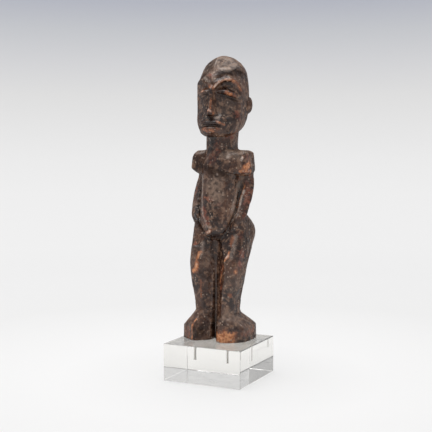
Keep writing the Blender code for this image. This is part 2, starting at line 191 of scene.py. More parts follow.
# The small planes that the blade left, and the fine unevenness over them
CUT_DEPTH = 0.16
CUT_SPACING = 3.4
CUT_REACH = 5.5
CUT_SEED = 7
RIPPLE = 0.05
RIPPLE_SIZE = (2.2, 2.2, 6.0)
RIPPLE_SEED = 3

# How far in or out the wood is felt for an edge or a groove
EDGE_REACH = 1.6
GROOVE_REACH = 1.8

# Where handling and age changed the surface, and where shade and highlights are painted: (strength,
# radius, points of a line), by kind
WORN = [
    (0.55, 1.2, [(1.6, -17.2, 172.0), (4.2, -15.7, 174.7), (6.5, -14.2, 176.7)]),
    (0.68, 1.5, [(5.6, -14.8, 176.0), (10.0, -12.3, 178.0), (12.8, -10.0, 177.7)]),
    (0.75, 1.1, [(13.0, -9.8, 176.8), (14.2, -8.2, 176.0)]),
    (0.48, 1.3, [(14.4, -8.0, 176.0), (15.6, -6.7, 174.9), (16.7, -4.1, 171.0)]),
    (0.48, 1.4, [(9.4, -13.6, 169.2), (11.5, -12.1, 168.3), (14.4, -8.9, 166.6)]),
    (0.95, 0.8, [(10.6, -12.8, 168.6), (12.2, -11.2, 168.0)]),
    (0.80, 1.3, [(-7.5, -14.2, 170.5)]),
    (0.55, 1.6, [(-2.0, -16.5, 173.0), (0.8, -17.6, 173.0)]),
    # The nose's tip and ridge: worn, with a painted highlight along them
    (0.75, 1.5, [(0.4, -21.3, 156.8), (2.4, -18.6, 155.4)]),
    (0.55, 0.8, [(1.2, -18.9, 165.0), (1.3, -20.1, 158.6)]),
    (0.68, 1.1, [(5.0, -18.9, 149.6), (7.8, -16.9, 148.6), (9.2, -14.5, 147.4)]),
    (0.58, 1.6, [(-4.6, -19.1, 144.7), (1.6, -21.1, 143.4), (6.0, -18.0, 144.2)]),
    (0.35, 1.6, [(13.0, -2.6, 144.2), (11.1, -4.9, 141.4)]),
    (1.00, 2.6, [(21.6, -1.5, 121.0), (20.8, -4.6, 118.0)]),
    (0.80, 1.3, [(17.6, -7.3, 116.6), (21.3, -4.3, 116.0), (21.8, 2.0, 116.2)]),
    (0.50, 1.6, [(19.0, -5.9, 125.8)]),
    # The left arm's front edge: worn, with a painted highlight along it
    (0.80, 0.8, [(16.6, 2.4, 106.5), (15.3, 0.8, 100.4), (14.6, -0.9, 96.3), (13.8, -3.4, 91.6)]),
    (0.30, 1.2, [(12.6, -3.2, 103.3), (12.7, -5.0, 95.8), (12.2, -8.7, 87.8)]),
    (0.35, 1.3, [(12.7, -3.4, 112.2), (12.8, 2.9, 109.9)]),
    # The lobe: worn, with a painted highlight on it
    (0.66, 1.3, [(-1.6, -18.5, 74.6), (0.6, -18.6, 76.0)]),
    (0.60, 1.0, [(-4.6, -14.4, 98.0), (-7.2, -13.2, 98.5)]),
    (0.50, 1.6, [(13.4, -11.2, 71.7), (13.2, -13.4, 66.0)]),
    (1.00, 1.0, [(13.0, -15.1, 61.8), (12.6, -15.9, 59.1), (9.9, -16.4, 55.6)]),
    (0.80, 1.5, [(8.3, -16.3, 51.5), (5.2, -14.0, 46.0), (3.2, -12.5, 40.0)]),
    (0.80, 1.6, [(-9.3, -14.6, 60.6), (-10.6, -16.6, 56.6)]),
    (1.00, 2.0, [(-10.4, -17.0, 53.2), (-11.2, -16.9, 49.0), (-13.5, -16.5, 47.5)]),
    (0.60, 0.9, [(-8.1, -15.6, 41.0), (-8.1, -15.5, 30.0)]),
    (1.00, 4.6, [(6.5, -21.0, 4.0), (12.8, -20.8, 4.4), (15.0, -19.0, 4.0)]),
    (1.00, 0.9, [(-12.8, -20.8, 1.0), (-12.9, -20.3, 9.0), (-12.0, -19.8, 13.0), (-9.6, -18.6, 16.0)]),
    (0.35, 4.5, [(-17.5, -17.4, 5.0)]),
    (0.70, 1.8, [(13.1, -14.3, 31.7)]),
    (0.40, 3.0, [(20.0, -15.0, 5.0), (23.3, -8.0, 6.0), (23.6, 2.1, 6.0)]),
    (0.55, 2.4, [(17.4, -13.3, 48.2)]),
    (0.60, 1.6, [(15.1, -4.9, 23.5)]),
    # The sides and the back, which the photograph hides
    (0.60, 2.2, [(10.0, 24.0, 76.0), (12.5, 23.5, 70.0)]),
    (0.60, 2.0, [(-9.0, 24.0, 78.0), (-12.0, 23.0, 72.0)]),
    (0.70, 1.6, [(17.0, 13.0, 126.0), (20.8, 10.5, 121.0)]),
    (0.60, 1.5, [(-19.5, 9.5, 124.0), (-20.5, 8.0, 118.0)]),
    (0.65, 2.0, [(12.0, 16.8, 3.0), (18.0, 15.0, 5.0)]),
    (0.60, 2.0, [(-12.0, 16.8, 3.0), (-20.0, 12.0, 6.0)]),
    (0.50, 1.8, [(0.0, 23.6, 181.0), (-6.0, 22.0, 178.0)]),
    (0.60, 1.3, [(-18.8, 8.0, 164.0), (-18.9, 7.0, 160.0)]),
]
RED = [
    (0.55, 5.0, [(2.0, -9.6, 136.0), (-1.6, -11.4, 123.1)]),
    (0.60, 2.0, [(6.6, -8.2, 138.6), (9.8, -4.2, 139.0)]),
    (0.60, 2.6, [(-4.6, -10.1, 126.5), (-1.6, -11.4, 123.1)]),
    (0.75, 2.6, [(14.2, -6.9, 155.5), (15.6, -5.0, 152.2)]),
    (0.60, 2.4, [(-4.0, -12.0, 184.0), (-1.0, -14.6, 180.5)]),
    (0.90, 2.2, [(-7.2, -13.2, 98.5), (-0.4, -15.5, 96.7)]),
    (0.90, 2.8, [(-6.0, -15.0, 90.4), (-5.7, -15.6, 85.6), (-3.7, -16.5, 81.7)]),
    (0.70, 2.2, [(5.3, -14.7, 94.1)]),
    (0.60, 4.0, [(17.9, -8.0, 72.9)]),
    (0.70, 4.0, [(19.8, -7.2, 62.0), (19.0, -10.0, 52.0)]),
    (0.80, 3.0, [(-14.0, -12.9, 65.8)]),
    (0.90, 2.2, [(7.4, -14.4, 51.2), (4.0, -13.0, 44.0), (6.5, -14.2, 36.7)]),
    (0.60, 5.0, [(20.0, 3.0, 110.0), (19.0, 0.0, 95.0), (17.0, -2.0, 86.0)]),
    (0.85, 5.0, [(-17.0, -17.5, 5.0)]),
    (0.40, 4.0, [(15.6, -15.0, 36.0)]),
    (0.60, 2.4, [(20.6, -2.8, 126.0), (21.6, 0.0, 121.0)]),
    # The sides and the back
    (0.70, 4.0, [(-4.0, 19.0, 165.0), (2.0, 19.5, 158.0)]),
    (0.60, 5.0, [(12.0, 22.0, 80.0), (14.0, 21.0, 68.0)]),
    (0.60, 4.0, [(-12.0, 14.0, 62.0), (-12.0, 9.0, 48.0)]),
    (0.60, 3.6, [(4.0, 11.0, 118.0), (2.0, 9.5, 104.0)]),
    (0.60, 3.0, [(-21.0, 4.0, 104.0), (-20.0, 2.0, 94.0)]),
]
# Grey dust, and a painted sheen of light: on the crown, the chest and shoulder, the cheek, the legs, the
# instep and the strip beside the left arm
DUST_AND_SHEEN_PATCHES = [
    (0.75, 3.4, [(8.4, -10.2, 127.2), (10.9, -9.3, 127.9), (15.6, -6.4, 127.2)]),
    (0.80, 6.0, [(1.8, -13.0, 110.0), (0.9, -13.6, 103.4), (3.4, -14.0, 98.1)]),
    (0.35, 6.0, [(11.0, -9.6, 160.8), (6.3, -12.3, 157.8)]),
    (0.30, 8.0, [(17.0, -12.0, 40.0)]),
    (0.70, 5.0, [(10.5, -15.5, 17.0), (16.0, -12.0, 14.5)]),
    (0.30, 5.0, [(-5.0, -13.0, 55.0)]),
    (0.50, 1.6, [(-1.5, -7.7, 187.9), (-0.3, -11.9, 183.9), (2.0, -15.4, 178.4)]),
    (0.80, 1.2, [(4.5, -10.9, 184.9), (8.3, -6.0, 186.4), (11.9, -2.1, 186.8)]),
    (0.90, 1.8, [(14.0, 2.4, 111.0), (12.7, -2.8, 101.2), (12.5, -7.7, 89.1)]),
]
# Painted shade on the forehead under the crown's edge, under the brow, the lids and the nose, over the
# upper lip, under the chest, down the left hip and in the groin; the right half of the crown, the right
# side of the chest and the right foot's front are darkened as well
SHADE_AND_STAIN_PATCHES = [
    (0.95, 3.2, [(5.0, -11.8, 181.8), (11.5, -7.0, 182.6), (14.4, 1.2, 182.6)]),
    (0.90, 4.6, [(-9.0, -2.0, 187.5), (-5.8, -4.8, 189.0), (-5.6, -8.7, 184.9), (-8.0, -10.5, 181.5)]),
    (0.50, 2.4, [(8.6, -11.6, 180.2)]),
    (0.80, 1.2, [(7.7, -13.1, 167.0), (11.7, -10.4, 165.2), (15.0, -7.0, 163.6)]),
    (0.90, 2.0, [(-5.4, -15.5, 153.6), (0.5, -18.2, 152.7)]),
    (0.60, 2.4, [(-4.6, -19.1, 150.4), (0.4, -19.8, 150.4)]),
    (0.80, 1.5, [(1.5, -16.8, 175.2)]),
    (0.60, 4.5, [(-13.1, -7.0, 125.1), (-12.6, -8.0, 118.2)]),
    (0.90, 5.5, [(-7.0, -20.5, 7.0)]),
    (0.90, 3.4, [(-7.6, -10.2, 119.6), (-0.5, -12.2, 115.6), (7.3, -11.0, 115.0)]),
    (0.65, 8.0, [(20.1, 3.8, 76.9), (20.2, -3.1, 67.1)]),
    (1.00, 3.6, [(0.5, -16.5, 70.6)]),
    (0.60, 1.3, [(-13.1, -10.2, 80.9), (-9.0, -12.6, 75.0), (-5.0, -15.0, 71.5)]),
]
# Painted highlights and glints along ridges and edges: the brow, the crown's keel, the nose, the lip, the
# chip, the arm's front edge, the torso's side, the thighs, the knees and the lobe; a few are pale specks
# by the toes
PALE_AND_GLINT_PATCHES = [
    (0.42, 1.2, [(-6.6, -12.9, 179.3), (-4.4, -12.9, 177.9), (-2.4, -14.4, 176.8)]),
    (0.75, 0.6, [(2.6, -16.6, 172.8), (5.4, -15.2, 175.8)]),
    (0.25, 1.0, [(6.0, -14.6, 176.8), (9.0, -13.0, 177.8), (12.0, -10.8, 178.0)]),
    (0.40, 0.8, [(-2.0, -3.8, 192.0), (-1.5, -7.7, 187.9)]),
    (0.35, 1.4, [(5.0, -9.8, 185.4), (8.3, -6.0, 186.4)]),
    (0.60, 0.8, [(0.6, -21.6, 157.4), (1.6, -20.2, 156.0)]),
    (0.70, 0.7, [(-7.5, -14.4, 170.6)]),
    (0.50, 0.6, [(6.2, -18.6, 149.3)]),
    (1.00, 0.6, [(7.5, -17.4, 11.6)]),
    (0.70, 0.6, [(17.2, -17.6, 10.6)]),
    (0.70, 0.6, [(20.6, -12.0, 11.9)]),
    (0.80, 0.6, [(5.0, -17.8, 11.8)]),
    (0.90, 0.8, [(18.6, -6.2, 125.5), (18.2, -6.6, 124.0)]),
    (0.60, 0.7, [(14.0, -9.0, 120.5)]),
    (0.35, 0.7, [(2.4, -12.4, 114.0)]),
    (1.00, 0.9, [(16.4, 1.4, 102.6), (15.4, -0.6, 97.7), (15.2, -3.2, 93.2)]),
    (0.40, 0.8, [(15.2, -3.2, 93.2), (15.0, -5.7, 89.1), (12.7, -8.9, 82.4)]),
    (0.25, 2.2, [(13.4, 0.4, 107.0), (12.7, -2.8, 101.2), (12.5, -7.7, 89.1)]),
    (0.40, 1.8, [(10.2, -10.2, 126.2)]),
    (0.26, 0.8, [(-10.0, -9.3, 112.7), (-9.3, -11.7, 99.7), (-7.2, -14.8, 86.9), (-2.6, -17.2, 78.3)]),
    (0.20, 1.6, [(15.8, -10.1, 72.3), (15.7, -13.0, 64.4), (14.1, -15.2, 57.8)]),
    (0.20, 1.4, [(-8.0, -12.6, 66.7), (-8.7, -15.1, 58.0)]),
    (0.90, 0.6, [(-1.2, -18.7, 74.9), (0.2, -18.8, 75.8)]),
    (0.70, 0.6, [(12.8, -16.0, 60.0), (11.2, -16.4, 57.6)]),
    (0.70, 0.8, [(-10.6, -17.2, 52.4)]),
    (0.60, 0.6, [(8.2, -15.4, 30.1)]),
    (0.60, 0.5, [(14.9, -16.0, 51.1)]),
    (0.60, 0.5, [(9.0, -16.2, 46.7)]),
    (0.55, 0.6, [(10.9, -9.1, 104.1)]),
]


def fall(low, high, value):
    """1 below low, 0 above high, smooth between."""
    t = np.clip((value - low) / (high - low), 0.0, 1.0)
    return 1.0 - t * t * (3.0 - 2.0 * t)


def join(a, b, blend):
    """The union of two forms, with a fillet of about the blend's size."""
    overlap = np.maximum(blend - np.abs(a - b), 0.0) / blend
    return np.minimum(a, b) - overlap * overlap * blend / 4


def trim(a, b, blend):
    """What two forms share, with its edge eased by the blend."""
    return -join(-a, -b, blend)


def curve_through(heights, values, z, crisp):
    """Values read at z from a line or a smooth curve through the given ones."""
    if crisp:
        return np.interp(z, heights, values)
    slopes = np.gradient(values, heights)
    z = np.clip(z, heights[0], heights[-1])
    i = np.clip(np.searchsorted(heights, z, side="right") - 1, 0, len(heights) - 2)
    span = heights[i + 1] - heights[i]
    t = (z - heights[i]) / span
    rise = t * t * (3 - 2 * t)
    start_slope = slopes[i] * span * t * (1 - t) ** 2
    end_slope = slopes[i + 1] * span * t * t * (t - 1)
    return values[i] * (1 - rise) + values[i + 1] * rise + start_slope + end_slope


def column(p, sections, squareness, crisp=False):
    """A shape lofted through level sections: rounded at squareness 2, boxier above it."""
    x, y, z = p
    table = np.array(sections).T
    levels, rows = np.unique(z, return_inverse=True)
    middle, half, front, back = (curve_through(table[0], row, levels, crisp)[rows] for row in table[1:])
    half = np.maximum(half, 0.2)
    depth = np.maximum((back - front) / 2, 0.2)
    u = np.abs(x - middle) / half + 1e-6
    v = np.abs(y - (front + back) / 2) / depth + 1e-6
    ring = (u**squareness + v**squareness) ** (1 / squareness)
    steepness = np.hypot(u ** (squareness - 1) / half, v ** (squareness - 1) / depth)
    side = (ring - 1) * ring ** (squareness - 1) / steepness
    ends = np.maximum(table[0][0] - z, z - table[0][-1])
    return trim(side, ends, 1.0)


def ball(p, middle, radii, lean=0.0):
    """An ellipsoid, leaning about the front-back axis."""
    x, y, z = (p[i] - middle[i] for i in range(3))
    x, z = x * math.cos(lean) - z * math.sin(lean), x * math.sin(lean) + z * math.cos(lean)
    a, b, c = radii
    near = np.sqrt((x / a) ** 2 + (y / b) ** 2 + (z / c) ** 2) + 1e-9
    slope = np.sqrt((x / a**2) ** 2 + (y / b**2) ** 2 + (z / c**2) ** 2) + 1e-9
    return near * (near - 1) / slope


def facet(p, point, facing):
    """The half space behind a flat cut through the point."""
    length = math.sqrt(sum(c * c for c in facing))
    return sum((p[i] - point[i]) * facing[i] for i in range(3)) / length


def line_distance(u, v, points):
    """How far (u, v) is from a line of straight runs."""
    nearest = None
    for (u0, v0), (u1, v1) in zip(points, points[1:]):
        du, dv = u1 - u0, v1 - v0
        t = np.clip(((u - u0) * du + (v - v0) * dv) / (du * du + dv * dv), 0, 1)
        gap = np.hypot(u - u0 - t * du, v - v0 - t * dv)
        nearest = gap if nearest is None else np.minimum(nearest, gap)
    return nearest


def ridge(distance, half_width):
    """A crisp ridge's height, from 1 on its line to 0 at its foot."""
    return np.maximum(0.0, 1.0 - distance / half_width)


def one_side(p, side):
    return np.stack([p[0] * side, p[1], p[2]])


def both_sides(p):
    return np.stack([np.abs(p[0]), p[1], p[2]])


def head_frame(p):
    """Places as the head sees them, turned a little to the figure's left."""
    c, s = math.cos(HEAD_TURN), math.sin(HEAD_TURN)
    y = p[1] - HEAD_Y
    return np.stack([p[0] * c + y * s, y * c - p[0] * s, p[2]])


def face_relief(h):
    """How far the face stands out from the head's plain column."""
    round_it = np.arctan2(np.abs(h[0]), -h[1]) * ROUND_THE_HEAD
    z = h[2]
    brow = np.interp(round_it, *np.array(BROW_LINE).T)
    eye = np.interp(round_it, *np.array(EYE_LINE).T)
    inner, outer = BROW_LINE[0][0], BROW_LINE[-1][0]

    # The face is let in below the brow, deepest beside the nose
    let_in = 2.3 * (1 - fall(0.8, 3.0, round_it)) * fall(9.0, 22.0, round_it)
    relief = -let_in * fall(-1.4, 0.2, z - brow) * (1 - fall(150.0, 156.0, z))

    # A raised rim follows the brow, and a socket is hollowed under it
    on_brow = fall(outer - 5.0, outer + 2.0, round_it) * (1 - fall(inner - 1.5, inner, round_it))
    rim = np.where(h[0] > 0, 0.9, 0.4)
    relief = relief + rim * ridge(line_distance(round_it, z, BROW_LINE), 2.6) * on_brow
    under = ridge(np.abs(z - (brow * 0.55 + eye * 0.45)), 3.4)
    relief = relief - 1.3 * under * fall(15.0, 22.0, round_it) * (1 - fall(1.5, 4.5, round_it))

    # The eye is a long leaning almond with one crisp lid and a slit under it
    eye_reach = 1 - np.where(h[0] > 0, (round_it - 11.0) / 8.8, (round_it - 9.0) / 6.6) ** 2
    almond = np.sqrt(np.maximum(0.0, eye_reach))
    lid = np.maximum(0.0, 1 - np.abs(z - eye - 0.5) / (0.6 + 2.2 * almond))
    relief = relief + 2.4 * lid**0.8 * almond
    relief = relief - 1.1 * ridge(np.abs(z - eye + 1.7), 1.0) * almond

    # The nose is a narrow wedge that widens to its wings
    down = np.clip((171.5 - z) / 17.0, 0, 1)
    wing = 1.5 + 2.6 * down**2
    nose = (3.2 + 3.4 * down) * ridge(np.abs(h[0]), wing) ** 0.8
    relief = relief + nose * fall(171.0, 175.0, z) * (1 - fall(153.2, 154.4, z)) * (h[1] < 0)

    # Two full lips, parted by a cut that runs further on the right
    bow = 0.02 * round_it**2
    end = np.where(h[0] > 0, 7.8, 11.0)
    lips = fall(-2.4, 2.4, round_it - end)
    relief = relief + 1.7 * ridge(np.abs(z - 149.0 + bow), 2.2) ** 0.6 * lips
    relief = relief + 1.7 * ridge(np.abs(z - 144.2), 2.8) ** 0.6 * lips
    relief = relief - 1.1 * ridge(np.abs(z - 146.9 + bow * 0.6), 0.9) * fall(-1.5, 1.5, round_it - end)
    return relief


def head(p):
    h = head_frame(p)
    half = both_sides(h)
    wood = column(h, HEAD, 2.3)
    # Two flat cuts on the crown meet in a keel, and end in an edge over the steeper forehead
    keel = (-1.4, -6.2, 192.2)
    over_forehead = 2.0 * fall(180.0, 184.0, h[2])
    wood = trim(wood, facet(h, keel, (0.39, -0.48, 0.79)), 0.3)
    wood = trim(wood, facet(h, keel, (-0.38, -0.68, 0.62)) - over_forehead, 0.4)
    wood = trim(wood, facet(half, (2.0, -18.0, 176.0), (0.40, -0.88, 0.26)), 0.8)
    # Cheeks and the back of the jaw are cut flat as well
    wood = trim(wood, facet(half, (12.5, -13.2, 157.0), (0.70, -0.70, -0.08)), 1.2)
    wood = wood - face_relief(h)
    wood = join(wood, ball(half, (15.2, 8.0, 161.8), (3.6, 3.4, 6.2)), 1.0)
    # A chip is gone over the far brow
    return trim(wood, -ball(h, (-5.6, -17.2, 177.6), (3.2, 2.6, 2.6), 0.4), 0.5)


def legs(p):
    made = None
    for side in (1.0, -1.0):
        q = one_side(p, side)
        foot = column(q, FOOT, 2.7 if side > 0 else 3.0, crisp=True)
        if side < 0:
            foot = join(foot, column(q, HIGH_TOE, 4.0, crisp=True), 0.8)
        rounding = 3.5 if side > 0 else 0.5
        foot = trim(foot, facet(q, (12.8, -20.8, 0.0), (0.58, -0.81, 0.0)), rounding)
        one = join(column(q, LEG, 2.7), foot, 0.8)
        # A crest runs down the thigh, over the knee and along the inner shin
        crest = line_distance(q[0], q[2], [(14.5, 64.0), (9.0, KNEE), (6.5, 42.0), (6.0, 26.0)])
        one = one - 1.2 * ridge(crest, 2.4) * (q[1] < -4.0)
        # The inner front corner is cut back, less on the feet, which part wider than the legs
        spared = (20.0 if side > 0 else 2.0) * fall(9.0, 17.0, q[2])
        one = trim(one, facet(q, (LEG_SLOT, -8.8, 30.0), (-0.70, -0.71, 0.03)) - spared, 1.0)
        if side > 0:
            one = trim(one, facet(q, (5.8, -21.0, 0.0), (-0.90, -0.42, 0.0)), 1.2)
        parting = LEG_SLOT + (FOOT_SLOT - LEG_SLOT) * fall(6.0, 20.0, q[2])
        one = trim(one, parting - q[0], 0.6)
        made = one if made is None else np.minimum(made, one)
    # The cut between the legs stops part way in
    web = np.maximum(np.abs(p[0]) - 3.0, p[2] - CROTCH)
    web = np.maximum(web, np.maximum(WEB_FRONT - p[1], p[1] - WEB_BACK))
    return join(made, web, 0.5)


def arms(p):
    """Arms with a crisp front edge, laid close along the body, hands on the hips' front."""
    bowed = 1.5 * (p[0] < 0) * (1 - fall(79.0, 86.0, p[2])) * fall(106.0, 114.0, p[2])
    half = both_sides(p)
    half[0] -= bowed
    return column(half, ARM, 1.35)


def trunk(p):
    half = both_sides(p)
    wood = column(p, TORSO, 2.4)
    wood = join(wood, legs(p), 1.0)
    buttocks = ball(half, (9.3, 9.5, HIP - 0.4), (10.6, 15.0, 12.0))
    wood = join(wood, trim(buttocks, LEG_SLOT / 2 - half[0], 1.0), 1.6)
    # The groin is cut in under the belly's lower edge
    groin = line_distance(half[0], p[2], [(1.5, 70.5), (7.5, 74.5), (12.5, 80.0)])
    cut = np.where(p[0] < 0, 1.8 * ridge(groin, 1.6), 0.7 * ridge(groin, 3.2))
    wood = wood + cut * (p[1] < -4.0)
    wood = join(wood, ball(p, (-0.6, -15.4, 75.0), (4.2, 3.8, 4.0)), 1.0)
    wood = join(wood, ball(p, (0.0, -15.6, 95.0), (1.8, 1.4, 1.8)), 0.8)
    wood = join(wood, join(arms(p), column(p, BACK, 3.0), 1.0), 0.5)
    # A shallow furrow down the spine
    spine = ridge(np.abs(p[0]), 2.4) * fall(122.0, 128.0, p[2]) * (1 - fall(84.0, 90.0, p[2]))
    return wood + 0.9 * spine * (p[1] > 2.0)


def shoulders(p):
    # The chest stands further towards the left shoulder, and its lower edge falls that way
    wood = column(p, CHEST_BLOCK, 3.2)
    wood = trim(wood, facet(p, (18.0, -8.0, CHEST - 1.7), (-0.27, 0.0, -0.96)), 1.6)
    half = both_sides(p)
    half[0] -= np.where(p[0] > 0, 0.7, -0.4) * (1 - fall(124.0, 130.0, p[2]))
    # The right one is cut back under its outer corner
    under = facet(p, (-21.1, 0.0, 118.0), (-0.62, -0.1, -0.78))
    caps = trim(column(half, SHOULDER_BLOCK, 3.4), under, 1.0)
    return join(wood, caps, 1.2)


def carving(p):
    """The whole figure, with the holes for its pins."""
    wood = join(trunk(p), shoulders(p), 0.5)
    wood = join(wood, column(p, NECK, 2.1), 1.5)
    wood = join(wood, head(p), 0.8)
    wood = trim(wood, -p[2], 0.5)
    hole = np.hypot(np.abs(p[0]) - PIN_OUT, p[1] - PIN_Y) - PIN_HOLE_RADIUS
    return np.maximum(wood, -np.maximum(hole, p[2] - PIN_HOLE_DEPTH))


def field_near_surface(form, low, high, step):
    """A form's values on a fine grid, worked out only in the blocks of it that the surface may cross."""
    coarse = step * BLOCK_OF_STEPS
    axes = [np.arange(a, b + coarse, coarse) for a, b in zip(low, high)]
    grid = np.stack(np.meshgrid(*axes, indexing="ij"))
    rough = form(grid.reshape(3, -1)).reshape(grid.shape[1:])
    near = np.abs(rough) < coarse * 2.6
    blocks = np.zeros(tuple(n - 1 for n in near.shape), bool)
    for corner in np.ndindex(2, 2, 2):
        blocks |= near[tuple(slice(c, n + c) for c, n in zip(corner, blocks.shape))]
    fine_shape = tuple((n - 1) * BLOCK_OF_STEPS + 1 for n in rough.shape)
    wanted = np.zeros(fine_shape, bool)
    starts = np.argwhere(blocks) * BLOCK_OF_STEPS
    for offset in np.ndindex((BLOCK_OF_STEPS + 1,) * 3):
        wanted[tuple((starts + offset).T)] = True
    filled_in = rough
    for axis in range(3):
        filled_in = np.repeat(filled_in, BLOCK_OF_STEPS, axis)
    filled_in = filled_in[: fine_shape[0], : fine_shape[1], : fine_shape[2]]
    field = np.where(filled_in < 0, -OUTSIDE, OUTSIDE)
    places = np.array(low) + np.argwhere(wanted) * step
    field[wanted] = form(places.T)
    return field


def surface_of(form, low, high, step):
    """Points and faces of a form's surface: one point in each grid cell that it crosses."""
    field = field_near_surface(form, low, high, step)
    inside = field < 0
    cells = tuple(n - 1 for n in field.shape)
    corners = list(np.ndindex(2, 2, 2))
    filled = sum(inside[tuple(slice(c, c + n) for c, n in zip(corner, cells))] * 1 for corner in corners)
    crossed_cells = np.argwhere((filled > 0) & (filled < 8))
    number = np.full(cells, -1)
    number[tuple(crossed_cells.T)] = np.arange(len(crossed_cells))

    total = np.zeros((len(crossed_cells), 3))
    crossings = np.zeros(len(crossed_cells))
    for corner in corners:
        for axis in range(3):
            if corner[axis]:
                continue
            start = crossed_cells + corner
            end = start.copy()
            end[:, axis] += 1
            at_start, at_end = field[tuple(start.T)], field[tuple(end.T)]
            crosses = (at_start < 0) != (at_end < 0)
            place = start.astype(float)
            place[:, axis] += np.where(crosses, at_start / np.where(crosses, at_start - at_end, 1.0), 0.0)
            total[crosses] += place[crosses]
            crossings += crosses
    points = np.array(low) + total / crossings[:, None] * step

    faces = []
    for axis in range(3):
        u, v = (axis + 1) % 3, (axis + 2) % 3
        here = inside[tuple(slice(0, -1) if i == axis else slice(1, -1) for i in range(3))]
        there = inside[tuple(slice(1, None) if i == axis else slice(1, -1) for i in range(3))]
        edges = np.argwhere(here != there)
        ring = []
        for step_u, step_v in ((0, 0), (1, 0), (1, 1), (0, 1)):
            cell = edges.copy()
            cell[:, u] += step_u
            cell[:, v] += step_v
            ring.append(number[tuple(cell.T)])
        ring = np.stack(ring, axis=1)
        faces_back = ~here[tuple(edges.T)]
        ring[faces_back] = ring[faces_back][:, ::-1]
        faces.append(ring)
    return points, np.concatenate(faces)


def slopes_of(form, points, reach=0.25):
    """Unit directions straight out of a form at its surface points."""
    slope = np.zeros_like(points)
    for axis in range(3):
        offset = np.zeros(3)
        offset[axis] = reach
        slope[:, axis] = form((points + offset).T) - form((points - offset).T)
    return slope / np.maximum(np.linalg.norm(slope, axis=1), 1e-9)[:, None]


def lumps(points, size, seed):
    """Smooth random values from -1 to 1 that change over about the given size."""
    place = points / np.array(size)
    cell = np.floor(place).astype(np.int64)
    t = place - cell
    t = t * t * (3 - 2 * t)
    total = np.zeros(len(points))
    for corner in np.ndindex(2, 2, 2):
        c = cell + corner
        mixed = c[:, 0] * 73856093 ^ c[:, 1] * 19349663 ^ c[:, 2] * 83492791 ^ seed * 2654435761
        mixed = (mixed ^ (mixed >> 13)) * 1274126177 & 0x7FFFFFFF
        weight = np.prod(np.where(corner, t, 1 - t), axis=1)
        total += weight * ((mixed >> 7) % 2001 / 1000 - 1)
    return total


def cut_facets(points, normals, keep_out):
    """Shaves small flat planes on the rounded wood, as a blade leaves them."""
    shaped = points.copy()
    order = np.random.default_rng(CUT_SEED).permutation(len(points))
    tree = kdtree.KDTree(len(points))
    for i, point in enumerate(points):
        tree.insert(point, i)
    tree.balance()
    free = ~keep_out
    for i in order:
        if not free[i]:
            continue
        around = np.array([found[1] for found in tree.find_range(Vector(points[i]), CUT_REACH)])
        away = np.linalg.norm(points[around] - points[i], axis=1)
        close = away < CUT_SPACING
        free[around[close]] = False
        # A plane takes in only wood that faces much the same way
        alike = normals[around] @ normals[i] > 0.8
        facing = normals[around[alike & close]].mean(axis=0)
        facing /= np.linalg.norm(facing)
        above = (shaped[around] - shaped[i]) @ facing + CUT_DEPTH
        # Where the wood stands well above the plane it is left whole
        if above[close].max() > CUT_DEPTH * 2.2:
            continue
        pushed = alike & (above > 0) & ~keep_out[around]
        shaped[around[pushed]] -= above[pushed, None] * facing
    return shaped


def patch_strength(points, patches, breakup):
    """How strongly each point lies in any of the patches, with a ragged edge."""
    strongest = np.zeros(len(points))
    for strength, radius, line in patches:
        ends = np.array(line, float)
        distance = np.linalg.norm(points - ends[0], axis=1)
        for a, b in zip(ends, ends[1:]):
            t = np.clip(((points - a) @ (b - a)) / ((b - a) @ (b - a)), 0, 1)
            distance = np.minimum(distance, np.linalg.norm(points - a - t[:, None] * (b - a), axis=1))
        ragged = distance / radius + 0.45 * breakup
        strongest = np.maximum(strongest, strength * fall(0.2, 1.5, ragged))
    return strongest


def as_attribute(mesh, name, values):
    layer = mesh.attributes.new(name, "FLOAT", "POINT")
    layer.data.foreach_set("value", np.clip(values, 0, 1).astype(np.float32))


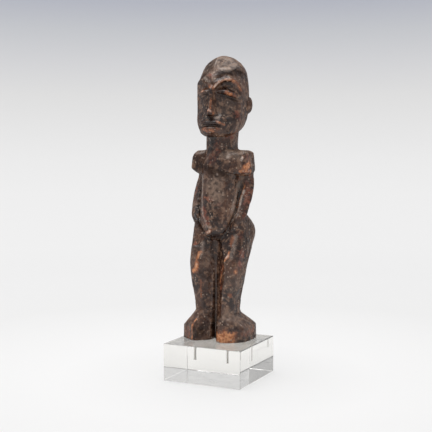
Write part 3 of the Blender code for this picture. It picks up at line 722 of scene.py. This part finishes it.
def build_carving():
    points, faces = surface_of(carving, GRID_LOW, GRID_HIGH, FINE_STEP)
    normals = slopes_of(carving, points)

    # How far each place is an outer edge, or a groove
    edge = carving((points - normals * EDGE_REACH).T) / EDGE_REACH + 1
    groove = 1 - carving((points + normals * GROOVE_REACH).T) / GROOVE_REACH

    # The face, the soles, the parting of the legs and all grooves keep their crisp form
    x, y, height = points.T
    on_face = (y < -4) & (height > 141) & (height < 181)
    by_parting = (np.abs(x) < 2.2) & (height < 66)
    crisp = on_face | by_parting | (height < 1.2) | (groove > 0.35)
    shaped = cut_facets(points, normals, crisp)
    shaped -= normals * (RIPPLE + RIPPLE * lumps(points, RIPPLE_SIZE, RIPPLE_SEED))[:, None]

    # The finer surface stays within its solid's box
    low, high = (np.array(corner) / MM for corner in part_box("carved_figure"))
    origin = np.array([FIGURE_X, FIGURE_Y, BLOCK_THICKNESS + REST_GAP])
    placed_points = np.clip(shaped + origin, low, high) * MM

    mesh = bpy.data.meshes.new("figure_carving")
    mesh.from_pydata(placed_points.tolist(), [], faces.tolist())
    # Large and small lumps, drawn out along the grain, break up the patches
    breakup = lumps(points, (1.6, 1.6, 2.4), 11) + 0.5 * lumps(points, (0.8, 0.8, 1.1), 12)
    # Dust, and a painted sheen of light from above, lie on what faces up: the crown, the shoulders and,
    # less of it, the feet
    on_crown = 1 - fall(181.0, 184.0, height)
    on_shoulders = fall(130.0, 140.0, height) * (1 - fall(118.0, 126.0, height))
    on_feet = 0.5 * fall(18.0, 24.0, height)
    dust_and_sheen_heights = np.maximum(np.maximum(on_crown, on_shoulders), on_feet)
    upward_dust_and_sheen = (1 - fall(0.42, 0.8, normals[:, 2])) * dust_and_sheen_heights
    as_attribute(mesh, "worn", patch_strength(points, WORN, breakup))
    as_attribute(mesh, "red", patch_strength(points, RED, breakup))
    as_attribute(mesh, "dust_and_sheen", np.maximum(patch_strength(points, DUST_AND_SHEEN_PATCHES, breakup), upward_dust_and_sheen * 0.9))
    as_attribute(mesh, "shade_and_stain", patch_strength(points, SHADE_AND_STAIN_PATCHES, breakup))
    as_attribute(mesh, "pale_and_glint", patch_strength(points, PALE_AND_GLINT_PATCHES, breakup * 0.6))
    as_attribute(mesh, "edge", 1 - fall(0.10, 0.55, edge))
    as_attribute(mesh, "groove", 1 - fall(0.12, 0.75, groove))
    mesh.shade_smooth()
    figure = bpy.data.objects.new("figure_carving", mesh)
    bpy.context.collection.objects.link(figure)
    return figure


# Sockets of a Mix node that mixes colours
FACTOR = 0
FIRST_COLOUR = 6
SECOND_COLOUR = 7
MIXED_COLOUR = 2


class Nodes:
    """Short ways to wire one material's nodes."""

    def __init__(self, name):
        self.material = bpy.data.materials.new(name)
        self.material.use_nodes = True
        self.tree = self.material.node_tree
        self.shader = self.tree.nodes["Principled BSDF"]
        self.place = self.tree.nodes.new("ShaderNodeTexCoord").outputs["Object"]

    def plug(self, socket, value):
        if isinstance(value, bpy.types.NodeSocket):
            self.tree.links.new(value, socket)
        else:
            socket.default_value = (*value, 1.0) if isinstance(value, tuple) else value

    def stretched(self, scale):
        node = self.tree.nodes.new("ShaderNodeMapping")
        self.plug(node.inputs["Vector"], self.place)
        node.inputs["Scale"].default_value = scale
        return node.outputs["Vector"]

    def noise(self, per_metre, detail=3.0, rough=0.55, stretch=None, warp=0.0):
        node = self.tree.nodes.new("ShaderNodeTexNoise")
        self.plug(node.inputs["Vector"], self.stretched(stretch) if stretch else self.place)
        node.inputs["Scale"].default_value = per_metre
        node.inputs["Detail"].default_value = detail
        node.inputs["Roughness"].default_value = rough
        node.inputs["Distortion"].default_value = warp
        return node.outputs["Fac"]

    def spots(self, per_metre):
        node = self.tree.nodes.new("ShaderNodeTexVoronoi")
        self.plug(node.inputs["Vector"], self.place)
        node.inputs["Scale"].default_value = per_metre
        return node

    def ramp(self, value, low, high, out_low=0.0, out_high=1.0):
        node = self.tree.nodes.new("ShaderNodeMapRange")
        node.interpolation_type = "SMOOTHSTEP"
        self.plug(node.inputs["Value"], value)
        node.inputs["From Min"].default_value = low
        node.inputs["From Max"].default_value = high
        node.inputs["To Min"].default_value = out_low
        node.inputs["To Max"].default_value = out_high
        return node.outputs["Result"]

    def calc(self, operation, a, b):
        node = self.tree.nodes.new("ShaderNodeMath")
        node.operation = operation
        self.plug(node.inputs[0], a)
        self.plug(node.inputs[1], b)
        return node.outputs["Value"]

    def mix(self, factor, a, b):
        node = self.tree.nodes.new("ShaderNodeMix")
        node.data_type = "RGBA"
        self.plug(node.inputs[FACTOR], factor)
        self.plug(node.inputs[FIRST_COLOUR], a)
        self.plug(node.inputs[SECOND_COLOUR], b)
        return node.outputs[MIXED_COLOUR]

    def toned(self, value, table, tone):
        """The colour that a table gives along a value, starting from the given one."""
        for (low, _), (high, after) in zip(table, table[1:]):
            part = self.tree.nodes.new("ShaderNodeMapRange")
            self.plug(part.inputs["Value"], value)
            part.inputs["From Min"].default_value = low
            part.inputs["From Max"].default_value = high
            tone = self.mix(part.outputs["Result"], tone, after)
        return tone

    def attribute(self, name):
        node = self.tree.nodes.new("ShaderNodeAttribute")
        node.attribute_name = name
        return node.outputs["Fac"]

    def ragged(self, name, noise, low, high):
        """An attribute's patches, with their edges and their inside broken up by a noise."""
        lifted = self.calc("ADD", self.attribute(name), self.calc("MULTIPLY", noise, 1.7))
        return self.ramp(lifted, low, high, 0, 0.95)

    def bump(self, height, distance, strength=1.0, under=None):
        node = self.tree.nodes.new("ShaderNodeBump")
        node.inputs["Strength"].default_value = strength
        node.inputs["Distance"].default_value = distance
        self.plug(node.inputs["Height"], height)
        if under:
            self.plug(node.inputs["Normal"], under)
        return node.outputs["Normal"]


# The colours of the wood, from its patina to what lies on it and the painted shade and glints
PATINA_DEEP = (0.019, 0.008, 0.006)
PATINA = (0.086, 0.037, 0.021)
PATINA_MOTTLE = (0.215, 0.122, 0.078)
GRAIN_LINE = (0.016, 0.007, 0.004)
RED_DEEP = (0.060, 0.018, 0.011)
RED_BRIGHT = (0.215, 0.062, 0.034)
DUST_AND_SHEEN_TONE = (0.240, 0.162, 0.118)
PATINA_THIN = (0.190, 0.068, 0.034)
BARE_DEEP = (0.340, 0.100, 0.030)
BARE_BRIGHT = (0.720, 0.320, 0.145)
FLECK = (0.010, 0.005, 0.003)
SHADE_AND_STAIN_TONE = (0.020, 0.010, 0.007)
GROOVE_DIRT_AND_SHADE = (0.018, 0.009, 0.005)
GLINT_SPECK = (0.46, 0.34, 0.26)
PALE_AND_GLINT_TONE = (0.78, 0.64, 0.55)


def old_wood():
    """Hardwood under a dark handled patina: worn orange on its edges, red and grey in patches, with
    painted shade, sheen and glints.
    """
    n = Nodes("old_wood")
    broad = n.noise(75, 4)
    mottle = n.noise(300, 4, 0.6, warp=0.5)
    fleck = n.noise(700, 3, 0.6)
    grain = n.noise(1, 4, 0.6, stretch=(800, 800, 100), warp=0.4)
    blotch = n.noise(230, 5, 0.75, warp=0.8)

    colour = n.mix(n.ramp(broad, 0.36, 0.64), PATINA_DEEP, PATINA)
    colour = n.mix(n.ramp(mottle, 0.48, 0.64, 0, 0.9), colour, PATINA_MOTTLE)
    colour = n.mix(n.ramp(grain, 0.50, 0.74, 0, 0.6), colour, GRAIN_LINE)

    red = n.mix(n.ramp(mottle, 0.40, 0.62), RED_DEEP, RED_BRIGHT)
    colour = n.mix(n.ragged("red", blotch, 1.15, 1.65), colour, red)

    # Grey dust, with a painted sheen, where the patches and the upward faces put it
    dust_and_sheen = n.calc("MULTIPLY", n.attribute("dust_and_sheen"), n.ramp(mottle, 0.34, 0.60, 0.2, 0.95))
    colour = n.mix(dust_and_sheen, colour, DUST_AND_SHEEN_TONE)

    # Bare wood shows where hands wore the patina through, first on the edges
    rub = n.calc("MULTIPLY", n.attribute("edge"), n.ramp(n.noise(150, 4, 0.7), 0.50, 0.68, 0, 0.6))
    thin = n.calc("MAXIMUM", rub, n.ragged("worn", blotch, 0.95, 1.35))
    colour = n.mix(thin, colour, PATINA_THIN)
    bare = n.mix(n.ramp(n.noise(520, 4, 0.7), 0.38, 0.62), BARE_DEEP, BARE_BRIGHT)
    colour = n.mix(n.ragged("worn", blotch, 1.28, 1.72), colour, bare)

    colour = n.mix(n.ramp(fleck, 0.56, 0.72, 0, 0.4), colour, FLECK)
    # Painted shade, and a few darker patches of wood
    shade_and_stain = n.calc("MULTIPLY", n.attribute("shade_and_stain"), 0.75)
    colour = n.mix(shade_and_stain, colour, SHADE_AND_STAIN_TONE)
    # Grooves darkened: dirt in them, and painted shade
    colour = n.mix(n.calc("MULTIPLY", n.attribute("groove"), 0.55), colour, GROOVE_DIRT_AND_SHADE)

    # Tiny painted glints, as pale dots scattered over the wood
    glint_spots = n.spots(520)
    chosen = n.ramp(glint_spots.outputs["Color"], 0.66, 0.74)
    glint_speck = n.calc("MULTIPLY", n.ramp(glint_spots.outputs["Distance"], 0.18, 0.36, 1, 0), chosen)
    colour = n.mix(n.calc("MULTIPLY", glint_speck, 0.62), colour, GLINT_SPECK)
    # Painted highlights and glints, and a few pale specks
    pale_and_glint = n.calc("MULTIPLY", n.attribute("pale_and_glint"), n.ramp(n.noise(480, 4, 0.7), 0.34, 0.56, 0.25, 1))
    colour = n.mix(pale_and_glint, colour, PALE_AND_GLINT_TONE)
    n.plug(n.shader.inputs["Base Color"], colour)

    gloss = n.ramp(n.noise(260, 3), 0.3, 0.7, 0.17, 0.42)
    dulled = n.calc("MULTIPLY", n.attribute("dust_and_sheen"), 0.14)
    n.plug(n.shader.inputs["Roughness"], n.calc("ADD", gloss, dulled))
    # The handled skin is duller where it turns away, and where shade is painted
    turned = n.tree.nodes.new("ShaderNodeLayerWeight").outputs["Facing"]
    glancing = n.ramp(turned, 0.25, 0.75, 0.55, 0.03)
    dull_in_shade = n.ramp(n.attribute("shade_and_stain"), 0, 1, 1, 0.35)
    n.plug(n.shader.inputs["Specular IOR Level"], n.calc("MULTIPLY", glancing, dull_in_shade))

    pores = n.ramp(n.noise(1, 2, 0.5, stretch=(1500, 1500, 190)), 0.60, 0.70, 1, 0)
    shape = n.bump(n.noise(170, 3, 0.5), 0.0013, 0.7)
    shape = n.bump(n.noise(420, 3, 0.5), 0.0005, 0.6, shape)
    shape = n.bump(pores, 0.00012, 0.5, shape)
    n.plug(n.shader.inputs["Normal"], shape)
    return n.material


def clear_acrylic():
    n = Nodes("clear_acrylic_polished")
    n.shader.inputs["Base Color"].default_value = (0.955, 0.945, 0.915, 1.0)
    n.shader.inputs["Transmission Weight"].default_value = 1.0
    n.shader.inputs["IOR"].default_value = 1.49
    # The polished sides carry faint handling marks, and the top is scuffed where the feet stand
    facing = n.tree.nodes.new("ShaderNodeSeparateXYZ")
    n.plug(facing.inputs["Vector"], n.tree.nodes.new("ShaderNodeNewGeometry").outputs["Normal"])
    top = n.ramp(facing.outputs["Z"], 0.5, 0.95)
    scuffed = n.calc("MULTIPLY", top, n.ramp(n.noise(90, 4), 0.3, 0.7, 0.16, 0.26))
    marks = n.ramp(n.noise(60, 4), 0.45, 0.75, 0.0, 0.05)
    n.plug(n.shader.inputs["Roughness"], n.calc("ADD", marks, scuffed))
    return n.material


def drawn_steel():
    n = Nodes("drawn_steel")
    n.shader.inputs["Metallic"].default_value = 1.0
    streak = n.noise(1, 3, 0.6, stretch=(3000, 3000, 120))
    n.plug(n.shader.inputs["Base Color"], n.mix(streak, (0.36, 0.35, 0.34), (0.58, 0.57, 0.55)))
    n.plug(n.shader.inputs["Roughness"], n.ramp(streak, 0.3, 0.7, 0.22, 0.42))
    n.plug(n.shader.inputs["Normal"], n.bump(streak, 0.00004, 0.5))
    return n.material


# The camera stands to the front, on the figure's left, and looks at its middle height
CAMERA_AT = (0.26757, -0.55430, 0.1558)
VIEW_TILT = math.radians(85.85)
VIEW_TURN = math.radians(26.0)
LENS = 75.0
SENSOR_WIDTH = 36.0

# One broad panel hangs over the figure
PANEL_AT = (-0.1, -0.15, 1.5)
PANEL_AIM = (0.0, 0.0, 0.11)
PANEL_SIZE = 1.4
PANEL_POWER = 22.0
ROOM_COLOUR = (0.97, 0.98, 1.0, 1.0)
ROOM_STRENGTH = 0.25

PAPER = (0.26, 0.26, 0.26)
# How the lit paper glows: on the floor (distance out, colour), then up the wall (height, colour).
# It is brightest under the clear block, and the wall's top fades to a cooler grey before it clears again
FLOOR_GLOW = [
    (0.018, (0.860, 0.820, 0.770)),
    (0.031, (0.585, 0.583, 0.580)),
    (0.112, (0.608, 0.605, 0.603)),
    (0.3, (0.537, 0.535, 0.532)),
    (0.5, (0.543, 0.541, 0.540)),
]
WALL_GLOW = [
    (0.0, (0.543, 0.541, 0.540)),
    (0.023, (0.556, 0.554, 0.553)),
    (0.048, (0.556, 0.554, 0.553)),
    (0.091, (0.551, 0.549, 0.548)),
    (0.141, (0.528, 0.526, 0.525)),
    (0.194, (0.485, 0.483, 0.482)),
    (0.249, (0.435, 0.433, 0.432)),
    (0.306, (0.356, 0.358, 0.374)),
    (0.363, (0.266, 0.277, 0.305)),
    (0.417, (0.171, 0.186, 0.244)),
    (0.5, (0.420, 0.430, 0.450)),
    (0.8, (0.600, 0.600, 0.600)),
]
STAGE_RADIUS = 1.0
STAGE_BEND = 0.5
STAGE_TOP = 1.5
BEND_STEPS = 16
ROUND_STEPS = 96
FLOOR_DROP = 0.0002


def build_stage():
    """A round floor that turns up into a wall, all round."""
    flat = STAGE_RADIUS - STAGE_BEND
    rings = [(0.0, 0.0), (flat, 0.0)]
    for i in range(1, BEND_STEPS + 1):
        angle = math.pi / 2 * i / BEND_STEPS
        rings.append((flat + STAGE_BEND * math.sin(angle), STAGE_BEND * (1 - math.cos(angle))))
    rings.append((STAGE_RADIUS, STAGE_TOP))
    points = [(0.0, 0.0, -FLOOR_DROP)]
    for radius, height in rings[1:]:
        for k in range(ROUND_STEPS):
            angle = 2 * math.pi * k / ROUND_STEPS
            points.append((radius * math.cos(angle), radius * math.sin(angle), height - FLOOR_DROP))
    faces = [(0, 1 + k, 1 + (k + 1) % ROUND_STEPS) for k in range(ROUND_STEPS)]
    for ring in range(len(rings) - 2):
        start = 1 + ring * ROUND_STEPS
        further = start + ROUND_STEPS
        for k in range(ROUND_STEPS):
            after = (k + 1) % ROUND_STEPS
            faces.append((start + k, further + k, further + after, start + after))
    mesh = bpy.data.meshes.new("studio_floor")
    mesh.from_pydata(points, [], faces)
    mesh.shade_smooth()
    floor = bpy.data.objects.new("studio_floor", mesh)
    bpy.context.collection.objects.link(floor)

    n = Nodes("studio_paper")
    split = n.tree.nodes.new("ShaderNodeSeparateXYZ")
    n.plug(split.inputs["Vector"], n.place)
    height = split.outputs["Z"]
    n.shader.inputs["Base Color"].default_value = (*PAPER, 1.0)
    n.shader.inputs["Roughness"].default_value = 0.9
    n.shader.inputs["Specular IOR Level"].default_value = 0.1

    # How far behind the figure a place lies, from -1 in front of it to 1 behind it
    from_x = n.calc("MULTIPLY", split.outputs["X"], -math.sin(VIEW_TURN))
    from_y = n.calc("MULTIPLY", split.outputs["Y"], math.cos(VIEW_TURN))
    back = n.calc("ADD", from_x, from_y)
    out = n.tree.nodes.new("ShaderNodeVectorMath")
    out.operation = "LENGTH"
    n.plug(out.inputs[0], n.place)
    behind = n.calc("DIVIDE", back, n.calc("MAXIMUM", out.outputs["Value"], 0.01))
    glow = n.toned(out.outputs["Value"], FLOOR_GLOW, FLOOR_GLOW[0][1])
    glow = n.toned(height, WALL_GLOW, glow)
    n.plug(n.shader.inputs["Emission Color"], glow)
    # The wall glows less on the side towards the front, and in full low down
    low_down = n.ramp(height, 0.03, 0.16, 1, 0)
    lit = n.calc("MAXIMUM", n.ramp(behind, -0.2, 0.3, 0.35, 1.0), low_down)
    n.plug(n.shader.inputs["Emission Strength"], lit)
    mesh.materials.append(n.material)


def build_light():
    light = bpy.data.lights.new("overhead_panel", "AREA")
    light.size = PANEL_SIZE
    light.energy = PANEL_POWER
    panel = bpy.data.objects.new("overhead_panel", light)
    panel.location = PANEL_AT
    panel.rotation_euler = (Vector(PANEL_AIM) - Vector(PANEL_AT)).to_track_quat("-Z", "Y").to_euler()
    bpy.context.collection.objects.link(panel)
    world = bpy.data.worlds.new("room")
    world.use_nodes = True
    sky = world.node_tree.nodes["Background"]
    sky.inputs["Color"].default_value = ROOM_COLOUR
    sky.inputs["Strength"].default_value = ROOM_STRENGTH
    bpy.context.scene.world = world


def build_camera():
    lens = bpy.data.cameras.new("camera")
    lens.lens = LENS
    lens.sensor_width = SENSOR_WIDTH
    camera = bpy.data.objects.new("camera", lens)
    camera.location = CAMERA_AT
    camera.rotation_euler = (VIEW_TILT, 0.0, VIEW_TURN)
    bpy.context.collection.objects.link(camera)
    bpy.context.scene.camera = camera


def dress(node, material):
    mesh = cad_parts[node].data
    for i in range(len(mesh.materials)):
        mesh.materials[i] = material


carved = build_carving()
carved.data.materials.append(old_wood())
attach(carved, "root")
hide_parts("carved_figure")

dress("acrylic_block", clear_acrylic())
steel = drawn_steel()
dress("mount_pin_left", steel)
dress("mount_pin_right", steel)

build_stage()
build_light()
build_camera()
bpy.context.scene.view_settings.view_transform = "Standard"
